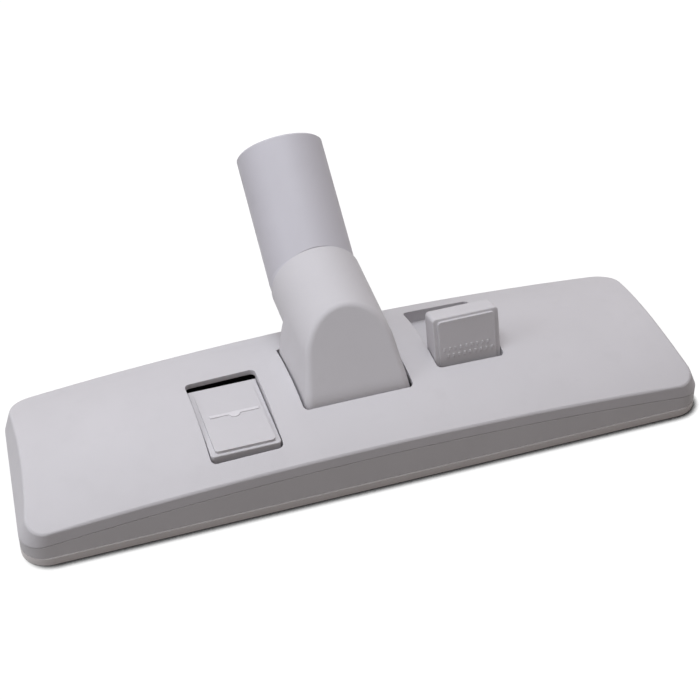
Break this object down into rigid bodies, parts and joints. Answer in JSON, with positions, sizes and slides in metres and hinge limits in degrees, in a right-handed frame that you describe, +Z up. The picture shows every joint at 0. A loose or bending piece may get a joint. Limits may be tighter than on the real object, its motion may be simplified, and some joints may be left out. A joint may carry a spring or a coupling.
{
  "type": "vacuum floor brush head",
  "caption": "Wide crowned vacuum floor head with a tilting, swivelling neck tube and rocking foot pedals that lower brush strips through the sole.",
  "frame": {"origin": "on the floor plane, at the middle of the sole's centre rib, half way along the head", "axes": "+X along the head to the right as seen from the front, +Y to the rear where the neck leaves, +Z up"},
  "size_m": [0.282, 0.1435, 0.0876],
  "materials": {
    "cover_plastic": "fine matt moulded texture",
    "base_plastic": "fine matt moulded texture",
    "sole_plastic": "satin moulded plastic",
    "pedal_plastic": "satin moulded plastic",
    "elbow_plastic": "fine matt moulded texture",
    "tube_plastic": "satin moulded plastic",
    "mechanism_plastic": "black moulded plastic",
    "bristle": "tufted nylon filament",
    "lint_fabric": "short directional pile",
    "steel": "zinc plated"
  },
  "bodies": {
    "housing": {"top_cover": "cover_plastic", "base_frame": "base_plastic", "sole_plate": "sole_plastic", "case_screws": "steel", "bearing_screws": "steel", "left_inner_cap": "mechanism_plastic", "left_outer_cap": "mechanism_plastic", "left_neck_cap": "mechanism_plastic", "right_inner_cap": "mechanism_plastic", "right_outer_cap": "mechanism_plastic", "right_neck_cap": "mechanism_plastic", "left_detent_spring": "steel", "right_detent_spring": "steel", "front_lint_strip": "lint_fabric", "rear_lint_strip": "lint_fabric"},
    "left_rocker": {"left_pedal": "pedal_plastic"},
    "right_rocker": {"right_pedal": "pedal_plastic"},
    "brush": {"brush_carriage": "mechanism_plastic", "front_bristles": "bristle", "rear_bristles": "bristle"},
    "elbow": {"swivel_elbow": "elbow_plastic"},
    "neck": {"neck_tube": "tube_plastic", "retaining_ring": "steel"}
  },
  "joints": [
    {"name": "left_pedal_rock", "type": "hinge", "parent": "housing", "child": "left_rocker", "pos_m": [-0.0498, 0, 0.0127], "axis": [1, 0, 0], "range_deg": [-74, 0], "deforming": ["left_detent_spring"]},
    {"name": "right_pedal_rock", "type": "hinge", "parent": "housing", "child": "right_rocker", "pos_m": [0.0498, 0, 0.0127], "axis": [1, 0, 0], "range_deg": [-74, 0], "deforming": ["right_detent_spring"]},
    {"name": "brush_lift", "type": "slide", "parent": "housing", "child": "brush", "axis": [0, 0, 1], "range_m": [-0.00602, 0]},
    {"name": "neck_tilt", "type": "hinge", "parent": "housing", "child": "elbow", "pos_m": [0, 0.00215, 0.0194], "axis": [1, 0, 0], "range_deg": [0, 29]},
    {"name": "neck_swivel", "type": "hinge", "parent": "elbow", "child": "neck", "pos_m": [0, 0.0442, 0.0413], "axis": [0, 0.9976, 0.0698], "continuous": true}
  ],
  "couplings": [
    {"joint": "left_pedal_rock", "follows": "brush_lift", "rad_per_m": 214.6},
    {"joint": "right_pedal_rock", "follows": "brush_lift", "rad_per_m": 214.6}
  ]
}
